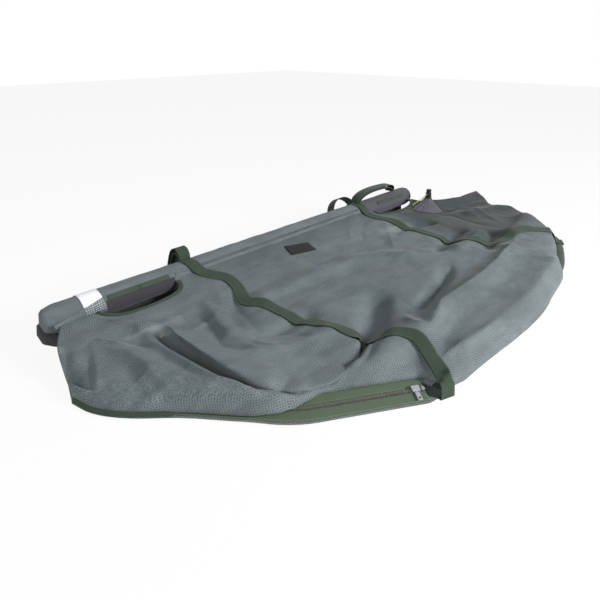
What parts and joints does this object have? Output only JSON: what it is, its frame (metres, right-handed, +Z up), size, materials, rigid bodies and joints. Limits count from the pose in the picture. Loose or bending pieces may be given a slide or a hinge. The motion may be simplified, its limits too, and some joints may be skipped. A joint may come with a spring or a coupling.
{
  "type": "retainer sling",
  "caption": "Floating fish retainer sling: foam float bars, draped mesh bag, hand cut-outs, webbing straps and handles, coil zip, and a gathered drawcord collar with a cord lock.",
  "frame": {"origin": "on the floor, below the middle of the upper float bar's axis, on the underside of the rear mesh panel", "axes": "+X along the float bars towards the end with the drawcord collar, -Y from the bars to the bag's hem, +Z up"},
  "size_m": [1.3698, 0.7097, 0.1221],
  "materials": {
    "mesh": "fine woven mesh, grey",
    "mesh_dark": "fine woven mesh in shade, dark grey",
    "sleeve": "coated cloth, grey",
    "fine_cloth": "thin plain cloth, violet grey",
    "foam": "closed-cell foam",
    "webbing": "ribbed webbing, dark olive",
    "binding": "folded tape, olive",
    "zip_cloth": "woven zip tape, sage green",
    "coil": "nylon coil, taupe",
    "metal": "satin grey metal",
    "black_plastic": "black moulded plastic",
    "spring_steel": "spring wire",
    "cord": "braided cord, yellow green",
    "reflective": "reflective tape, pale",
    "patch": "plain black patch"
  },
  "bodies": {
    "bag": {"rear_mesh_panel": "mesh_dark", "front_mesh_panel": "mesh", "bottom_seam_tape": "binding", "right_end_seam_tape": "binding", "left_strap": "webbing", "right_strap": "webbing", "rear_bar_foam": "foam", "rear_bar_sleeve": "sleeve", "rear_bar_left_end": "sleeve", "rear_bar_right_end": "sleeve", "rear_left_wrap": "webbing", "rear_right_wrap": "webbing", "front_left_cutout_binding": "binding", "front_right_cutout_binding": "binding", "rear_left_cutout_binding": "binding", "rear_right_cutout_binding": "binding", "zip_upper_tape": "zip_cloth", "zip_lower_tape": "zip_cloth", "zip_coil": "coil", "zip_corner_stop": "metal", "zip_strap_stop": "metal", "label_patch": "patch", "end_gusset": "fine_cloth", "drawcord_collar": "fine_cloth", "cord_lock_barrel": "black_plastic", "cord_lock_spring": "spring_steel", "drawcord": "cord"},
    "upper_bar": {"front_bar_foam": "foam", "front_bar_sleeve": "sleeve", "front_bar_left_end": "sleeve", "front_bar_right_end": "sleeve", "front_left_wrap": "webbing", "front_right_wrap": "webbing", "reflective_band": "reflective", "front_left_cutout_top_binding": "binding", "front_right_cutout_top_binding": "binding"},
    "front_left_handle": {"front_left_handle": "webbing"},
    "front_right_handle": {"front_right_handle": "webbing"},
    "rear_left_handle": {"rear_left_handle": "webbing"},
    "rear_right_handle": {"rear_right_handle": "webbing"},
    "zip_slider": {"zip_slider": "metal"},
    "zip_pull": {"zip_pull": "metal"},
    "lock_plunger": {"cord_lock_plunger": "black_plastic"}
  },
  "joints": [
    {"name": "mouth_open", "type": "hinge", "parent": "bag", "child": "upper_bar", "pos_m": [0, -0.5, 0.005], "axis": [1, 0, 0], "range_deg": [0, 15]},
    {"name": "front_left_handle_lift", "type": "hinge", "parent": "upper_bar", "child": "front_left_handle", "pos_m": [-0.25, 0.001, 0.09569], "axis": [1, 0, 0], "range_deg": [0, 85]},
    {"name": "front_right_handle_lift", "type": "hinge", "parent": "upper_bar", "child": "front_right_handle", "pos_m": [0.281, 0, 0.09569], "axis": [0, -1, 0], "range_deg": [0, 90]},
    {"name": "rear_left_handle_lift", "type": "hinge", "parent": "bag", "child": "rear_left_handle", "pos_m": [-0.292, 0.055, 0.0262], "axis": [1, 0, 0], "range_deg": [0, 90]},
    {"name": "rear_right_handle_lean", "type": "hinge", "parent": "bag", "child": "rear_right_handle", "pos_m": [0.288, 0.05091, 0.04605], "axis": [-1, 0, 0], "range_deg": [0, 70]},
    {"name": "zip_slide", "type": "slide", "parent": "bag", "child": "zip_slider", "axis": [-0.8508, 0.5255, 0], "range_m": [0, 0.15]},
    {"name": "zip_pull_swing", "type": "hinge", "parent": "zip_slider", "child": "zip_pull", "pos_m": [-0.19938, -0.50497, 0.01192], "axis": [-0.8508, 0.5255, 0], "range_deg": [0, 90]},
    {"name": "cord_lock_press", "type": "slide", "parent": "bag", "child": "lock_plunger", "axis": [0, 0, -1], "range_m": [0, 0.004], "stiffness_N_per_m": 300, "springref_m": -0.004, "deforming": ["cord_lock_spring"]}
  ]
}
